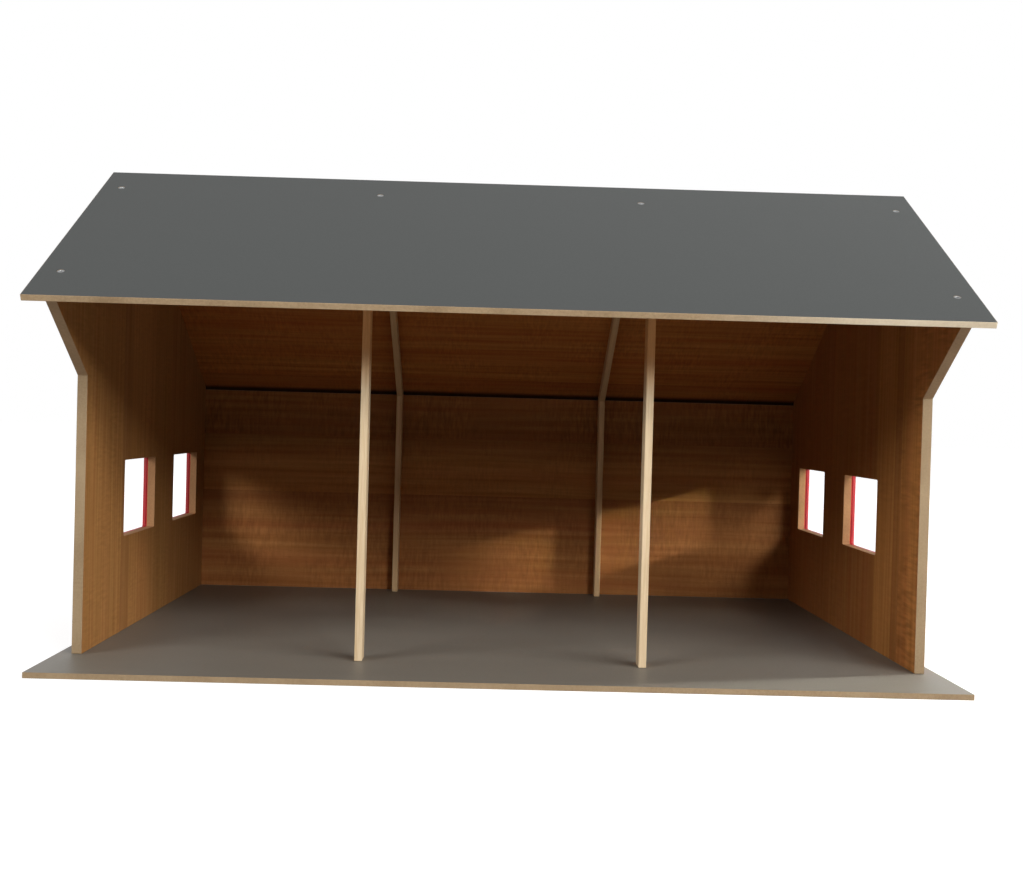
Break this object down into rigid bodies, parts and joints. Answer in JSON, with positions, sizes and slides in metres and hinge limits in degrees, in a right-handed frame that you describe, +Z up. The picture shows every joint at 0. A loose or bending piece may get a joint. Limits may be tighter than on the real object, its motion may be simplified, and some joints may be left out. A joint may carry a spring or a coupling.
{
  "type": "wooden toy garage",
  "caption": "Open-fronted wooden toy garage with a gabled roof, bays parted by slim frames, red-framed windows in the side walls, and a projecting base board.",
  "frame": {"origin": "on the ground under the middle of the roof's outline, which is the middle of the bounding box's bottom face", "axes": "-Y points out of the open front, +X to the right as seen from the front, +Z up"},
  "size_m": [0.802, 0.6862, 0.4656],
  "materials": {
    "veneered_board": "oiled dark wood veneer on fibreboard, satin, with bare tan board edges",
    "roof_laminate": "dark grey melamine laminate on board, satin, with bare tan board edges",
    "floor_laminate": "warm grey melamine laminate on board, satin, with bare tan board edges",
    "solid_wood": "pale solid wood, planed and unfinished",
    "red_paint": "bright red paint on board, satin",
    "dowel_wood": "beech dowel, plain",
    "zinc_steel": "zinc-plated steel"
  },
  "bodies": {
    "root": {"base_board": "floor_laminate", "side_wall_left": "veneered_board", "side_wall_right": "veneered_board", "back_wall": "veneered_board", "roof_panel_front": "roof_laminate", "roof_panel_rear": "roof_laminate", "window_frame_left_front": "red_paint", "window_frame_left_rear": "red_paint", "window_frame_right_front": "red_paint", "window_frame_right_rear": "red_paint", "front_post_left": "solid_wood", "front_rafter_left": "solid_wood", "rear_rafter_left": "solid_wood", "rear_post_left": "solid_wood", "front_post_right": "solid_wood", "front_rafter_right": "solid_wood", "rear_rafter_right": "solid_wood", "rear_post_right": "solid_wood", "frame_dowel_left_1": "dowel_wood", "frame_dowel_left_2": "dowel_wood", "frame_dowel_left_3": "dowel_wood", "frame_dowel_right_1": "dowel_wood", "frame_dowel_right_2": "dowel_wood", "frame_dowel_right_3": "dowel_wood", "roof_screw_front_1": "zinc_steel", "roof_screw_front_2": "zinc_steel", "roof_screw_front_3": "zinc_steel", "roof_screw_front_4": "zinc_steel", "roof_screw_front_5": "zinc_steel", "roof_screw_front_6": "zinc_steel", "roof_screw_rear_1": "zinc_steel", "roof_screw_rear_2": "zinc_steel", "roof_screw_rear_3": "zinc_steel", "roof_screw_rear_4": "zinc_steel", "roof_screw_rear_5": "zinc_steel", "roof_screw_rear_6": "zinc_steel", "roof_screw_rear_7": "zinc_steel", "roof_screw_rear_8": "zinc_steel", "base_screw_wall_left_1": "zinc_steel", "back_screw_wall_left_1": "zinc_steel", "base_screw_wall_left_2": "zinc_steel", "back_screw_wall_left_2": "zinc_steel", "base_screw_wall_left_3": "zinc_steel", "back_screw_wall_left_3": "zinc_steel", "base_screw_wall_right_1": "zinc_steel", "back_screw_wall_right_1": "zinc_steel", "base_screw_wall_right_2": "zinc_steel", "back_screw_wall_right_2": "zinc_steel", "base_screw_wall_right_3": "zinc_steel", "back_screw_wall_right_3": "zinc_steel", "base_screw_front_post_1": "zinc_steel", "base_screw_rear_post_1": "zinc_steel", "base_screw_front_post_2": "zinc_steel", "base_screw_rear_post_2": "zinc_steel", "back_screw_rear_post_1": "zinc_steel", "back_screw_rear_post_2": "zinc_steel", "back_screw_rear_post_3": "zinc_steel", "back_screw_rear_post_4": "zinc_steel"}
  },
  "joints": []
}
